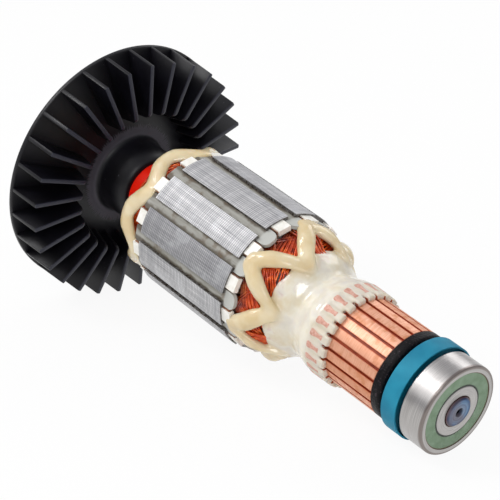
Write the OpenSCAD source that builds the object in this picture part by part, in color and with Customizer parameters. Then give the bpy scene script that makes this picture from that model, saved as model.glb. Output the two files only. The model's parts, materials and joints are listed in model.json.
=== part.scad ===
// Armature of a mains power-tool motor: shaft, laminated core and windings, commutator,
// front ball bearing, dust ring and cooling fan.
// Every module is drawn about the shaft line, Z, with Z = 0 at the outer face of the bearing
// and the fan end towards +Z. lie() then lays the whole armature down as it rests on a bench:
// on two neighbouring fan blades and the rounded edge of the bearing.

/* [Shaft] */
// Diameter of the bearing seat at the commutator end
front_seat_d = 10; // [9:0.5:11]
// Diameter under the dust ring and the commutator
shaft_comm_d = 12; // [11.5:0.5:13]
// Diameter under the core and the fan
shaft_core_d = 13; // [12.5:0.5:14]
// Diameter of the bearing seat behind the fan
drive_seat_d = 12; // [10:0.5:12]
// Length of the bearing seat behind the fan
drive_seat_len = 13.8; // [10:0.2:18]
// Diameter of the seat for the pinion
pinion_seat_d = 10; // [7:0.5:10]
// Length of the seat for the pinion
pinion_seat_len = 14; // [8:0.5:18]
// Height of the shaft end above the bearing face
shaft_proud = 0.8; // [0.4:0.1:2]
// Chamfer on both ends of the shaft
shaft_chamfer = 0.6; // [0.3:0.1:1]
// Diameter of the centre hole in the shaft end
centre_hole_d = 1.6; // [1:0.1:2.4]
// Depth of the centre hole
centre_hole_depth = 4; // [2:0.5:6]

/* [Bearing] */
// Outer diameter of the bearing
bearing_od = 30; // [29:0.5:31]
// Width of the bearing
bearing_w = 9; // [8:0.5:10]
// Corner radius of the outer ring
bearing_corner = 0.6; // [0.3:0.1:1]
// Outer diameter of the inner ring
inner_ring_od = 16.6; // [16:0.1:17]
// Inner diameter of the outer ring between the seals
outer_ring_bore_d = 23.4; // [23:0.1:24]
// Outer diameter of the seals
seal_od = 26; // [25.4:0.1:27]
// Thickness of a seal
seal_t = 0.6; // [0.4:0.1:0.9]
// Depth of a seal below the bearing face
seal_recess = 0.24; // [0.1:0.02:0.5]
// Gap between a seal and the inner ring
seal_gap = 0.15; // [0.1:0.05:0.3]
// Ball diameter
ball_d = 4.76; // [4.4:0.02:5]
// Number of balls
ball_count = 8; // [6:1:9]
// Running clearance of the balls in rings and cage
ball_clearance = 0.05; // [0.02:0.01:0.1]
// Radial thickness of the cage
cage_t = 1.4; // [1:0.1:2]
// Width of the cage along the shaft
cage_w = 5.8; // [5.4:0.1:6.2]

/* [Dust ring] */
// Outer diameter of the dust ring
dust_ring_od = 31.6; // [28:0.2:33]
// Gap between the bearing and the rim of the dust ring
dust_ring_gap = 0.9; // [0.6:0.1:2]
// Width of the rim of the dust ring
dust_ring_w = 6.1; // [5:0.1:8]
// Wall of the rim
dust_ring_wall = 0.5; // [0.4:0.1:1.2]
// Depth of the hollow that faces the bearing
dust_ring_hollow = 3.6; // [2:0.2:4.6]
// Diameter of the hub of the dust ring
dust_hub_d = 15; // [14:0.5:16]

/* [Commutator] */
// Diameter of the brush track
comm_d = 29.5; // [28:0.1:31]
// Length of the brush track
comm_len = 19.6; // [16:0.2:24]
// Diameter of the copper risers
riser_d = 31.2; // [31.1:0.1:32]
// Length of the risers
riser_len = 6.9; // [6:0.1:8]
// Diameter at the foot of the bars
bar_foot_d = 21; // [19:0.5:24]
// Width of the slots between the bars
bar_gap = 0.85; // [0.4:0.05:0.9]
// Depth to which the insulation between the bars is cut back
undercut = 0.8; // [0.4:0.1:1.2]
// Number of bars for each core slot
bars_per_slot = 2; // [1:1:2]
// Diameter of the moulded flange in front of the bars
comm_flange_d = 29.6; // [28:0.2:31]
// Thickness of the moulded flange
comm_flange_t = 3.5; // [2:0.1:5]
// Rounding of the flange towards the dust ring
comm_flange_round = 1.4; // [0.6:0.1:1.8]
// Diameter of the moulded neck behind the dust ring
comm_neck_d = 18; // [16:0.5:20]
// Length of the moulded neck
comm_neck_len = 1.4; // [0.8:0.1:3]
// Width of the lead ends in the risers
lead_w = 1.7; // [1:0.1:1.8]
// Depth of the lead slots in the risers
lead_slot_depth = 2.6; // [2:0.1:3]
// Distance from the front of a riser to its lead slot
lead_inset = 2.4; // [2.4:0.1:3.4]

/* [Core] */
// Diameter of the laminated core
core_d = 48; // [46:0.5:50]
// Length of the laminated core
core_len = 41; // [34:0.5:50]
// Distance from the risers to the core
core_offset = 31.6; // [31:0.2:36]
// Number of slots and of teeth
slot_count = 12; // [12:1:12]
// Width of the slot mouths
slot_mouth = 3.4; // [2.6:0.1:4]
// Depth of the slot mouths below the core surface
tooth_tip = 1.3; // [1:0.1:1.6]
// Width of the teeth
tooth_w = 4.8; // [4.4:0.1:5.2]
// Radius of the slot floors
slot_floor_r = 1.25; // [1:0.05:1.6]

/* [Insulation] */
// Outer diameter of the insulating sleeve inside the core
sleeve_d = 16; // [15:0.2:18]
// Outer diameter of the insulating sleeve between windings and fan
sleeve_collar_d = 19.8; // [19:0.2:22]
// Thickness of the slot liners
liner_t = 0.3; // [0.2:0.05:0.4]
// Length by which the slot liners stand out of the core
liner_out = 3.2; // [2.5:0.1:3.5]
// Thickness of the end insulators
insulator_t = 1; // [0.6:0.1:1.5]
// Length by which the tabs of the end insulators stand out of the core
tab_len = 3.8; // [3.3:0.1:4.2]
// Thickness of the tabs
tab_t = 1.9; // [1.5:0.1:2]
// Depth of the tabs below the core surface
tab_inset = 0.7; // [0.4:0.1:0.8]
// Gap between a tab and the slot liners
tab_gap = 0.05; // [0.05:0.05:0.5]
// Width of the slot wedges
wedge_w = 5.7; // [5:0.1:5.8]
// Thickness of the slot wedges
wedge_t = 1.25; // [1:0.05:1.3]
// Length by which the wedges stand out at the commutator end
wedge_out_front = 4.6; // [4:0.1:5]
// Length by which the wedges stand out at the fan end
wedge_out_rear = 3.5; // [3:0.1:3.8]
// Corner radius of the wedge ends at the commutator end
wedge_tip_r = 2.2; // [1:0.1:2.5]
// Corner radius of the wedge ends at the fan end
wedge_heel_r = 0.8; // [0.4:0.1:1.5]

/* [Windings] */
// Gap between the end windings and the tabs above them
winding_gap = 0.5; // [0.3:0.1:1]
// Distance from the core at which the front winding begins to fall
shoulder_len = 7; // [6:0.5:9]
// Length of the end winding on the fan side
winding_rear_len = 14.2; // [13.6:0.1:16]
// Radius of the lead bundle at its neck
neck_r = 12.3; // [11.5:0.1:13]
// Distance from the risers to the neck
neck_offset = 8.6; // [7:0.2:10]
// Depth of the lead bundle below the risers' outside
lead_step = 0.4; // [0.3:0.1:0.8]

/* [Resin] */
// Thickness of the resin over the leads
resin_t = 0.8; // [0.5:0.1:1.2]
// Thickness of the resin over the risers
riser_coat = 0.7; // [0.4:0.1:1]
// Length of the resin blocks in front of the risers' lead slots
coat_block_len = 1.8; // [1.2:0.1:2]
// Width of the resin bead around the end windings
bead_w = 4.4; // [4:0.1:5]
// Height of the resin bead
bead_h = 2; // [1.5:0.1:2.4]
// Travel of the front bead along the shaft
bead_swing_front = 9.6; // [7:0.2:11]
// Travel of the rear bead along the shaft
bead_swing_rear = 4.2; // [2:0.2:5]
// Gap between a bead and the wedge ends and tabs
bead_gap = 0.25; // [0.15:0.05:0.6]
// Gap between a bead and what it lies on
bead_seat = 0.15; // [0.1:0.05:0.3]
// Angle of the points where the beads come nearest to the core
bead_turn = 11; // [0:1:60]

/* [Fan] */
// Diameter of the fan disc
fan_d = 87.8; // [80:0.2:96]
// Number of blades
blade_count = 29; // [21:2:33]
// Thickness of the blades
blade_t = 1.4; // [1:0.1:2]
// Radius of the blades at their free front corner
blade_tip_r = 43.3; // [39:0.1:46]
// Radius at which the blades begin
blade_root_r = 24.1; // [22:0.1:26]
// Height of the blades at the rim
blade_h = 12.6; // [10:0.2:16]
// Forward rise of the blades from rim to root
blade_rise = 1.5; // [0:0.1:3]
// Rounding of the blades at their root
blade_round = 1.5; // [0.5:0.1:2.5]
// Thickness of the fan disc
disc_t = 1.5; // [1:0.1:2.5]
// Depth of the cone of the fan disc
disc_cone = 5.9; // [3:0.1:7]
// Radius of the flat middle of the fan disc
disc_flat_r = 18.5; // [17:0.1:20]
// Diameter of the fan hub
fan_hub_d = 26; // [24:0.2:30]
// Length of the fan hub
fan_hub_len = 20.2; // [18:0.2:24]
// Distance from the core to the fan hub
fan_offset = 24; // [22:0.2:30]
// Angle of the first tooth from the top
tooth_turn = 18.6; // [0:0.1:30]

/* [Hidden] */
$fn = 96;
eps = 0.01;

// Stations along the shaft
dust_z = bearing_w + dust_ring_gap;
dust_end = dust_z + dust_ring_w;
flange_z = dust_end + comm_neck_len;
bar_z = flange_z + comm_flange_t;
riser_z = bar_z + comm_len;
riser_end = riser_z + riser_len;
core_z = riser_end + core_offset;
core_end = core_z + core_len;
fan_z = core_end + fan_offset;
fan_end = fan_z + fan_hub_len;
drive_end = fan_end + drive_seat_len;
shaft_end = drive_end + pinion_seat_len;
sleeve_z = riser_end + 1.6;

// Radii
bearing_r = bearing_od / 2;
core_r = core_d / 2;
pitch_r = (inner_ring_od + outer_ring_bore_d) / 4;
track_r = ball_d / 2 + ball_clearance;
disc_r = fan_d / 2;

// Repeats
bar_count = slot_count * bars_per_slot;
slot_pitch = 360 / slot_count;
bar_pitch = 360 / bar_count;
blade_pitch = 360 / blade_count;
bead_waves = slot_count / 2;

// Heights of slot, wedge and tab above the shaft line, square to the slot or tooth
slot_top = core_r - tooth_tip;
wedge_base = slot_top - wedge_t - 0.05;
slot_floor_h = (slot_floor_r + tooth_w / 2) / sin(slot_pitch / 2);
tab_top = core_r - tab_inset;

// Nearest distances from the core to the middle of the beads
bead_near_front = wedge_out_front + bead_gap + bead_w / 2;
bead_near_rear = max(wedge_out_rear, tab_len) + bead_gap + bead_w / 2;

// Fan blade stations
blade_tip_z = fan_end - disc_t - blade_h;
blade_root_z = blade_tip_z - blade_rise;

// Resting pose: the line under the bearing's rounded edge and the two lowest blade corners
tip_drop = blade_tip_r * cos(blade_pitch / 2) + blade_t / 2 * sin(blade_pitch / 2);
rest_run = blade_tip_z - bearing_corner;
rest_rise = tip_drop - (bearing_r - bearing_corner);
tilt = atan(rest_rise / rest_run) - asin(bearing_corner / norm([rest_run, rest_rise]));
lift = (bearing_r - bearing_corner) * cos(tilt) - bearing_corner * sin(tilt) + bearing_corner;
x_front = max(shaft_proud * cos(tilt) + (front_seat_d / 2 - shaft_chamfer) * sin(tilt),
              (bearing_r - bearing_corner) * sin(tilt) - bearing_corner * (cos(tilt) - 1));
x_back = -shaft_end * cos(tilt) - (pinion_seat_d / 2 - shaft_chamfer) * sin(tilt);
x_mid = (x_front + x_back) / 2;

// Outline of the front end winding as [distance in front of the core, radius]: it falls
// from its shoulder to the neck and rises again to the risers. Both tables hold shares.
winding_r = tab_top - tab_t - winding_gap;
neck_d = core_offset - neck_offset;
fall = [[0, 1], [0.19, 0.93], [0.38, 0.73], [0.56, 0.52], [0.72, 0.37], [0.8, 0.27],
        [0.89, 0.12], [0.97, 0.01]];
rise = [[0.15, 0.03], [0.33, 0.3], [0.5, 0.74], [0.69, 0.9], [1, 1]];
lead_r = riser_d / 2 - lead_step;
front_winding = concat(
    [[liner_out, winding_r]],
    [for (p = fall) [shoulder_len + p[0] * (neck_d - shoulder_len),
                     neck_r + p[1] * (winding_r - neck_r)]],
    [for (p = rise) [neck_d + p[0] * neck_offset, neck_r + p[1] * (lead_r - neck_r)]]
);
// Outline of the rear end winding as [distance behind the core, radius]
round_off = [[0, 1], [0.45, 0.84], [0.8, 0.58], [1, 0.25]];
rear_flat = bead_near_rear + bead_swing_rear + bead_w / 4;
collar_r = sleeve_collar_d / 2;
rear_winding = concat(
    [[liner_out, winding_r]],
    [for (p = round_off) [rear_flat + p[0] * (winding_rear_len - rear_flat),
                          collar_r + p[1] * (winding_r - collar_r)]]
);
// Thickness of the lead resin as [distance in front of the core, thickness]
resin_start = neck_d - 6.6;
resin_skin = [[resin_start, 0], [resin_start + 2.1, resin_t], [core_offset, resin_t]];

function numbered(name, i) = str(name, i < 10 ? "_0" : "_", i);

// Lays the armature down, with the fan towards -X and the bearing towards +X
module lie() {
    translate([-x_mid, 0, lift]) rotate([0, tilt - 90, 0]) children();
}

// Turns an outline of [z, r] points about the shaft line
module turned(points) {
    rotate_extrude() polygon([for (p = points) [p[1], p[0]]]);
}

// A tube along the shaft line
module tube(r_in, r_out, z, len) {
    difference() {
        translate([0, 0, z]) cylinder(r = r_out, h = len);
        translate([0, 0, z - 1]) cylinder(r = r_in, h = len + 2);
    }
}

// Copies its children to each tooth
module at_teeth() {
    for (i = [0:slot_count - 1]) rotate(tooth_turn + i * slot_pitch) children();
}

// Copies its children to each slot
module at_slots() {
    for (i = [0:slot_count - 1]) rotate(tooth_turn + (i + 0.5) * slot_pitch) children();
}

// ---------------------------------------------------------------- shaft and sleeve

module shaft() {
    c = shaft_chamfer;
    color("#8c93a8") lie() difference() {
        turned([
            [-shaft_proud, 0], [-shaft_proud, front_seat_d / 2 - c],
            [c - shaft_proud, front_seat_d / 2], [bearing_w, front_seat_d / 2],
            [bearing_w, shaft_comm_d / 2], [sleeve_z, shaft_comm_d / 2],
            [sleeve_z, shaft_core_d / 2], [fan_end, shaft_core_d / 2],
            [fan_end, drive_seat_d / 2], [drive_end, drive_seat_d / 2],
            [drive_end, pinion_seat_d / 2], [shaft_end - c, pinion_seat_d / 2],
            [shaft_end, pinion_seat_d / 2 - c], [shaft_end, 0],
        ]);
        centre_hole(-shaft_proud);
        mirror([0, 0, 1]) centre_hole(-shaft_end);
    }
}

// A centre hole with its countersink, drilled from z towards +Z
module centre_hole(z) {
    translate([0, 0, z - eps]) cylinder(d = centre_hole_d, h = centre_hole_depth);
    translate([0, 0, z - eps]) cylinder(d1 = 2 * centre_hole_d, d2 = 0, h = centre_hole_d);
}

module insulating_sleeve() {
    color("#d21f18") lie() {
        turned([
            [sleeve_z, shaft_core_d / 2], [sleeve_z, sleeve_d / 2],
            [core_end + insulator_t, sleeve_d / 2],
            [core_end + insulator_t, sleeve_collar_d / 2],
            [fan_z, sleeve_collar_d / 2], [fan_z, shaft_core_d / 2],
        ]);
    }
}

// ---------------------------------------------------------------- core and its insulation

// Section of one slot below the tooth tips, with its walls moved in by inset
module slot_pocket(inset, top) {
    half_pitch = slot_pitch / 2;
    wall = tooth_w / 2 + inset;
    floor_r = slot_floor_r - inset;
    function wall_y(h) = (h - wall * sin(half_pitch)) * tan(half_pitch) - wall * cos(half_pitch);
    low = [slot_floor_h - floor_r * sin(half_pitch), floor_r * cos(half_pitch)];
    polygon([
        [low[0], -low[1]], [top, -wall_y(top)], [top, wall_y(top)], [low[0], low[1]],
    ]);
    translate([slot_floor_h, 0]) circle(r = floor_r);
}

module core_stack() {
    color("#b4b7bf") lie() translate([0, 0, core_z]) difference() {
        cylinder(r = core_r, h = core_len);
        translate([0, 0, -1]) cylinder(r = sleeve_d / 2, h = core_len + 2);
        at_slots() translate([0, 0, -1]) linear_extrude(core_len + 2) {
            slot_pocket(0, slot_top);
            translate([slot_floor_h, -slot_mouth / 2]) square([core_r, slot_mouth]);
        }
    }
}

module slot_liners() {
    color("#a98266") lie() at_slots() translate([0, 0, core_z - liner_out])
        linear_extrude(core_len + 2 * liner_out) difference() {
            slot_pocket(0, slot_top);
            slot_pocket(liner_t, slot_top + eps);
        }
}

module slot_coils() {
    color("#a6401c") lie() at_slots() translate([0, 0, core_z - liner_out])
        linear_extrude(core_len + 2 * liner_out) slot_pocket(liner_t, wedge_base - 0.05);
}

// Plan of a wedge from z1 to z2 with rounded ends
module wedge_plan(z1, z2) {
    for (side = [-1, 1]) {
        translate([z1 + wedge_tip_r, side * (wedge_w / 2 - wedge_tip_r)]) circle(r = wedge_tip_r);
        translate([z2 - wedge_heel_r, side * (wedge_w / 2 - wedge_heel_r)])
            circle(r = wedge_heel_r);
    }
    translate([z1 + wedge_tip_r, -wedge_w / 2])
        square([z2 - z1 - wedge_tip_r - wedge_heel_r, wedge_w]);
    translate([z1, wedge_tip_r - wedge_w / 2])
        square([wedge_tip_r + 1, wedge_w - 2 * wedge_tip_r]);
    translate([z2 - wedge_heel_r - 1, wedge_heel_r - wedge_w / 2])
        square([wedge_heel_r + 1, wedge_w - 2 * wedge_heel_r]);
}

module slot_wedge(i) {
    color("#8b857b") lie() rotate(tooth_turn + (i - 0.5) * slot_pitch)
        translate([wedge_base + wedge_t, 0, 0]) rotate([0, -90, 0]) linear_extrude(wedge_t)
            wedge_plan(core_z - wedge_out_front, core_end + wedge_out_rear);
}

// End insulator on a core face at z = 0, with its tabs towards -Z
module end_insulator() {
    difference() {
        union() {
            translate([0, 0, -insulator_t])
                cylinder(r = slot_floor_h - slot_floor_r, h = insulator_t);
            at_teeth() translate([0, -tooth_w / 2, -insulator_t])
                cube([tab_top - tab_t / 2, tooth_w, insulator_t]);
            at_teeth() translate([tab_top - tab_t, tab_gap - tooth_w / 2, -tab_len])
                cube([tab_t, tooth_w - 2 * tab_gap, tab_len]);
        }
        translate([0, 0, -tab_len - 1]) cylinder(r = sleeve_d / 2, h = tab_len + 2);
    }
}

module front_end_insulator() {
    color("#ece8da") lie() translate([0, 0, core_z]) end_insulator();
}

module rear_end_insulator() {
    color("#ece8da") lie() translate([0, 0, core_end]) mirror([0, 0, 1]) end_insulator();
}

// ---------------------------------------------------------------- windings and resin

module front_end_winding() {
    outline = [for (p = front_winding) [core_z - p[0], p[1]]];
    color("#b5481f") lie() turned(concat(
        outline,
        [[riser_end, bar_foot_d / 2], [sleeve_z, bar_foot_d / 2], [sleeve_z, sleeve_d / 2],
         [core_z - liner_out, sleeve_d / 2]]
    ));
}

module rear_end_winding() {
    outline = [for (p = rear_winding) [core_end + p[0], p[1]]];
    color("#b5481f") lie() turned(concat(
        outline,
        [[core_end + winding_rear_len, sleeve_collar_d / 2],
         [core_end + liner_out, sleeve_collar_d / 2]]
    ));
}

// Middle of a bead: distance from the core at angle a
function bead_mid(near, swing, a) =
    near + swing / 2 * (1 - asin(0.96 * cos(bead_waves * (a - bead_turn))) / asin(0.96));

// Half of a bead's width along the shaft, larger where the bead runs at a slant
function bead_half(near, swing, r, a) =
    bead_w / 2 * norm([1, (bead_mid(near, swing, a + 1) - bead_mid(near, swing, a - 1))
                          / (2 * r * PI / 180)]);

// One point of a bead at angle a: t runs from -1 to 1 across it, and side is 0 below, 1 above
function bead_point(bed, near, swing, a, t, side) = let (
    mid = bead_mid(near, swing, a),
    d = mid + t * bead_half(near, swing, lookup(mid, bed), a),
    r = lookup(d, bed) + bead_seat + side * bead_h * sqrt(1 - t * t)
) [r * cos(a), r * sin(a), d];

// A resin bead that zigzags around an end winding, on a bed of [distance, radius] points
module bead(bed, near, swing) {
    rings = 120;
    steps = 7;
    sides = 2 * steps;
    points = [for (i = [0:rings - 1], j = [0:sides - 1])
        bead_point(bed, near, swing, i * 360 / rings, -cos(j * 180 / steps),
                   j > steps ? 0 : 1)];
    function at(i, j) = (i % rings) * sides + j % sides;
    polyhedron(points, [for (i = [0:rings - 1], j = [0:sides - 1])
        [at(i, j), at(i + 1, j), at(i + 1, j + 1), at(i, j + 1)]]);
}

module front_resin_bead() {
    bed = [for (p = concat(front_winding, resin_skin))
        [p[0], lookup(p[0], front_winding) + lookup(p[0], resin_skin)]];
    color("#e6d7b4") lie() translate([0, 0, core_z]) mirror([0, 0, 1])
        bead(bed, bead_near_front, bead_swing_front);
}

module rear_resin_bead() {
    color("#e6d7b4") lie() translate([0, 0, core_end])
        bead(rear_winding, bead_near_rear, bead_swing_rear);
}

module lead_resin() {
    coat_r = riser_d / 2 + riser_coat;
    edge = concat([[resin_start, lookup(resin_start, front_winding)]],
                  [for (p = front_winding) if (p[0] > resin_start) p]);
    last = len(edge) - 1;
    color("#ddd8c6") lie() difference() {
        turned(concat(
            [for (p = edge) if (p[0] < core_offset - 1) [core_z - p[0],
                                                        p[1] + lookup(p[0], resin_skin)]],
            [[riser_end + 1.1, coat_r - 0.3], [riser_end + 0.4, coat_r], [riser_z + 0.8, coat_r],
             [riser_z, coat_r - 0.4], [riser_z, riser_d / 2], [riser_end, riser_d / 2]],
            [for (i = [last:-1:1]) [core_z - edge[i][0], edge[i][1]]]
        ));
        at_bars() translate([riser_d / 2 - 1, -lead_w / 2 - 0.1, riser_z + lead_inset])
            cube([4, lead_w + 0.2, riser_len - lead_inset + 0.1]);
        at_bars() rotate(bar_pitch / 2)
            translate([riser_d / 2 - 1, -bar_gap, riser_z - 1])
                cube([4, 2 * bar_gap, coat_block_len + 1]);
    }
}

// ---------------------------------------------------------------- commutator

// Copies its children to each bar
module at_bars() {
    for (i = [0:bar_count - 1]) rotate(tooth_turn + i * bar_pitch) children();
}

module commutator_bar(i) {
    r = comm_d / 2;
    side = bar_pitch / 2;
    color("#cf8a63") lie() rotate(tooth_turn + (i - 1) * bar_pitch) difference() {
        intersection() {
            turned([
                [bar_z, bar_foot_d / 2], [bar_z, r - 0.3], [bar_z + 0.3, r], [riser_z, r],
                [riser_z + 0.3, riser_d / 2], [riser_end, riser_d / 2],
                [riser_end, bar_foot_d / 2],
            ]);
            translate([0, 0, bar_z - 1]) linear_extrude(comm_len + riser_len + 2)
                polygon([
                    [bar_gap / 2 / sin(side), 0],
                    [2 * r, 2 * r * tan(side) - bar_gap / 2 / cos(side)],
                    [2 * r, bar_gap / 2 / cos(side) - 2 * r * tan(side)],
                ]);
        }
        translate([riser_d / 2 - lead_slot_depth, -lead_w / 2, riser_z + lead_inset])
            cube([lead_slot_depth + 1, lead_w, riser_len]);
    }
}

module mica_segments() {
    foot = bar_foot_d / 2 + 0.05;
    color("#8c7a63") lie() at_bars() rotate(bar_pitch / 2)
        translate([foot, -bar_gap / 2, bar_z]) {
            cube([comm_d / 2 - undercut - foot, bar_gap, comm_len + riser_len]);
            translate([0, 0, comm_len + coat_block_len])
                cube([riser_d / 2 - 0.05 - foot, bar_gap, riser_len - coat_block_len]);
        }
}

module lead_ends() {
    top = riser_d / 2 + riser_coat - 0.35;
    color("#e0a28c") lie() at_bars()
        translate([riser_d / 2 - lead_slot_depth, -lead_w / 2, riser_z + lead_inset])
            cube([top - riser_d / 2 + lead_slot_depth, lead_w, riser_len - lead_inset]);
}

module commutator_moulding() {
    r = comm_flange_d / 2;
    bore = shaft_comm_d / 2;
    c = comm_flange_round;
    color("#26242a") lie() turned(concat(
        [[dust_end, bore], [dust_end, comm_neck_d / 2], [flange_z, comm_neck_d / 2]],
        [for (a = [90:-15:0]) [flange_z + c * (1 - sin(a)), r - c * (1 - cos(a))]],
        [[bar_z, r], [bar_z, bar_foot_d / 2], [sleeve_z, bar_foot_d / 2], [sleeve_z, bore]]
    ));
}

// ---------------------------------------------------------------- dust ring and bearing

module dust_ring() {
    r = dust_ring_od / 2;
    bore = shaft_comm_d / 2;
    color("#1f86a6") lie() turned([
        [bearing_w, bore], [bearing_w, dust_hub_d / 2],
        [dust_z + dust_ring_hollow, dust_hub_d / 2],
        [dust_z + dust_ring_hollow, r - dust_ring_wall], [dust_z, r - dust_ring_wall],
        [dust_z, r], [dust_end - 0.4, r], [dust_end, r - 0.4], [dust_end, bore],
    ]);
}

// The groove that the balls run in
module ball_track() {
    translate([0, 0, bearing_w / 2]) rotate_extrude() translate([pitch_r, 0]) circle(r = track_r);
}

module bearing_inner_ring() {
    bore = front_seat_d / 2;
    r = inner_ring_od / 2;
    color("#d9d8d4") lie() difference() {
        turned([
            [0, bore + 0.3], [0, r - 0.2], [0.2, r], [bearing_w - 0.2, r],
            [bearing_w, r - 0.2], [bearing_w, bore + 0.3], [bearing_w - 0.3, bore], [0.3, bore],
        ]);
        ball_track();
    }
}

module bearing_outer_ring() {
    c = bearing_corner;
    seat = seal_recess + seal_t;
    bottom = bearing_w / 2;
    color("#c9cbd0") lie() difference() {
        rotate_extrude() {
            polygon([
                [seal_od / 2, 0], [bearing_r - c, 0], [bearing_r - c, c], [bearing_r, c],
                [bearing_r, bearing_w - c], [bearing_r - c, bearing_w - c],
                [bearing_r - c, bearing_w], [seal_od / 2, bearing_w],
                [seal_od / 2, bearing_w - seat], [outer_ring_bore_d / 2, bearing_w - seat],
                [outer_ring_bore_d / 2, seat], [seal_od / 2, seat],
            ]);
            for (z = [c, bearing_w - c]) translate([bearing_r - c, z]) circle(r = c);
        }
        ball_track();
    }
}

// Copies its children to each ball
module at_balls() {
    for (i = [0:ball_count - 1]) rotate(i * 360 / ball_count)
        translate([pitch_r, 0, bearing_w / 2]) children();
}

module bearing_balls() {
    color("#e6e7ea") lie() at_balls() sphere(d = ball_d);
}

module bearing_cage() {
    color("#b9a97c") lie() difference() {
        tube(pitch_r - cage_t / 2, pitch_r + cage_t / 2, (bearing_w - cage_w) / 2, cage_w);
        at_balls() rotate([0, 90, 0]) cylinder(r = track_r, h = 2 * cage_t, center = true);
    }
}

module seal(z) {
    tube(inner_ring_od / 2 + seal_gap, seal_od / 2, z, seal_t);
}

module bearing_front_seal() {
    color("#7f9a82") lie() seal(seal_recess);
}

module bearing_rear_seal() {
    color("#7f9a82") lie() seal(bearing_w - seal_recess - seal_t);
}

// ---------------------------------------------------------------- fan

// Side view of one blade as [r, z], up to the fan disc
module blade_side() {
    r0 = blade_root_r;
    c = blade_round;
    top = blade_root_z;
    polygon([
        [r0 + c, top], [blade_tip_r, blade_tip_z], [disc_r, fan_end - disc_t + 0.2],
        [r0, disc_front(r0) + 0.4], [r0, top + c],
    ]);
    translate([r0 + c, top + c]) circle(r = c);
}

// Height of the disc's front surface at radius r
function disc_front(r) =
    fan_end - disc_t - disc_cone * min(1, (disc_r - r) / (disc_r - disc_flat_r));

module fan() {
    hub = fan_hub_d / 2;
    flat_z = disc_front(disc_flat_r);
    color("#1b1c22") lie() difference() {
        union() {
            turned([
                [fan_z, 0], [fan_z, hub - 0.6], [fan_z + 0.6, hub], [flat_z - 0.8, hub],
                [flat_z, hub + 0.8], [flat_z, disc_flat_r], [fan_end - disc_t, disc_r],
                [fan_end, disc_r], [flat_z + disc_t, disc_flat_r], [flat_z + disc_t, hub],
                [fan_end, hub], [fan_end, 0],
            ]);
            for (i = [0:blade_count - 1]) rotate(180 + (i + 0.5) * blade_pitch)
                rotate([90, 0, 0]) translate([0, 0, -blade_t / 2])
                    linear_extrude(blade_t) blade_side();
        }
        translate([0, 0, fan_z - 1]) cylinder(d = shaft_core_d, h = fan_hub_len + 2);
    }
}

shaft();
insulating_sleeve();
core_stack();
front_end_insulator();
rear_end_insulator();
slot_liners();
slot_coils();
front_end_winding();
rear_end_winding();
front_resin_bead();
rear_resin_bead();
lead_resin();
lead_ends();
mica_segments();
commutator_moulding();
dust_ring();
bearing_inner_ring();
bearing_outer_ring();
bearing_balls();
bearing_cage();
bearing_front_seal();
bearing_rear_seal();
fan();
for (i = [1:slot_count]) slot_wedge(i);
for (i = [1:bar_count])
    commutator_bar(i);
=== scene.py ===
# %% [markdown]
# # Motor armature
# This lesson dresses the armature of a hand tool's motor: a steel shaft that carries a
# laminated core with copper windings, a commutator with copper bars, a teal dust ring, a
# ball bearing and a black cooling fan. The solids come from the CAD frame. A solid whose
# shape is already right stays and gets a finish, and what is wound, poured or moulded with
# soft edges is modelled anew: the wire, the resin, the lead ends and the fan.

# %% Load the frame and measure it
import json
import math
import random

import bmesh
import bpy
from mathutils import Matrix, Vector, kdtree, noise


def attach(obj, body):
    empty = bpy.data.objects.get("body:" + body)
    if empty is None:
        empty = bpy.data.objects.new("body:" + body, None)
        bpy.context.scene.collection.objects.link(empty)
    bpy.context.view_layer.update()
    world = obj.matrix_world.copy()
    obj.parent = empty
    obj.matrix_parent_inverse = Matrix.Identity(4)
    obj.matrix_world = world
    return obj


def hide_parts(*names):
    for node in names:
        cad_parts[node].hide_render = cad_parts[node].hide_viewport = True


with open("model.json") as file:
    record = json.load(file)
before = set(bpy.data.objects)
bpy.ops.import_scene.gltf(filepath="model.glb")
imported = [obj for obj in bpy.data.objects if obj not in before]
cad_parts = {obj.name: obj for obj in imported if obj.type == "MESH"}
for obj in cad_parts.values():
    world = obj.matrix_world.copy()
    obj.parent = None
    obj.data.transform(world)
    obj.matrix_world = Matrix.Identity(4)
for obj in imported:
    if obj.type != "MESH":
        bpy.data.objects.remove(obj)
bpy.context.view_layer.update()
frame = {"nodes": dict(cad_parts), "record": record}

nodes = frame["nodes"]

# %% [markdown]
# The armature lies on the bench on two fan blades and on the edge of its bearing, so its
# shaft rises towards the fan. It is easier to model about an upright shaft line, with Z = 0
# at the outer face of the bearing. So every new piece is made there, in millimetres, and one
# matrix then lays it down and turns millimetres into metres. The slope comes from the
# record's bearing seat, whose axis points out of the bearing's face.

# %% The shaft frame
MM = 0.001
BEARING_MID = 4.5
seat = next(m for m in frame["record"]["mounts"] if m["name"] == "bearing_seat")
along = -Vector(seat["axis"]).normalized()
up_side = Vector((along.z, 0, -along.x))
side = along.cross(up_side)
face = Vector(seat["pos_m"]) - along * BEARING_MID * MM
LAY = Matrix.Translation(face) @ Matrix((
    (up_side.x, side.x, along.x), (up_side.y, side.y, along.y), (up_side.z, side.z, along.z),
)).to_4x4() @ Matrix.Scale(MM, 4)
STAND = LAY.inverted()
print("shaft rises", round(math.degrees(math.atan2(along.z, -along.x)), 2), "degrees")


def polar(radius, angle, station):
    """A point about the shaft line: radius and station in millimetres, angle in degrees."""
    a = math.radians(angle)
    return Vector((radius * math.cos(a), radius * math.sin(a), station))


def outline_of(name, beyond=0.0):
    """A solid's outline: its largest radius at each station, for radii over a limit."""
    widest = {}
    for vertex in nodes[name].data.vertices:
        p = STAND @ vertex.co
        radius = math.hypot(p.x, p.y)
        if radius > beyond:
            widest[round(p.z, 2)] = max(widest.get(round(p.z, 2), 0.0), radius)
    return sorted(widest.items())


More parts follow.
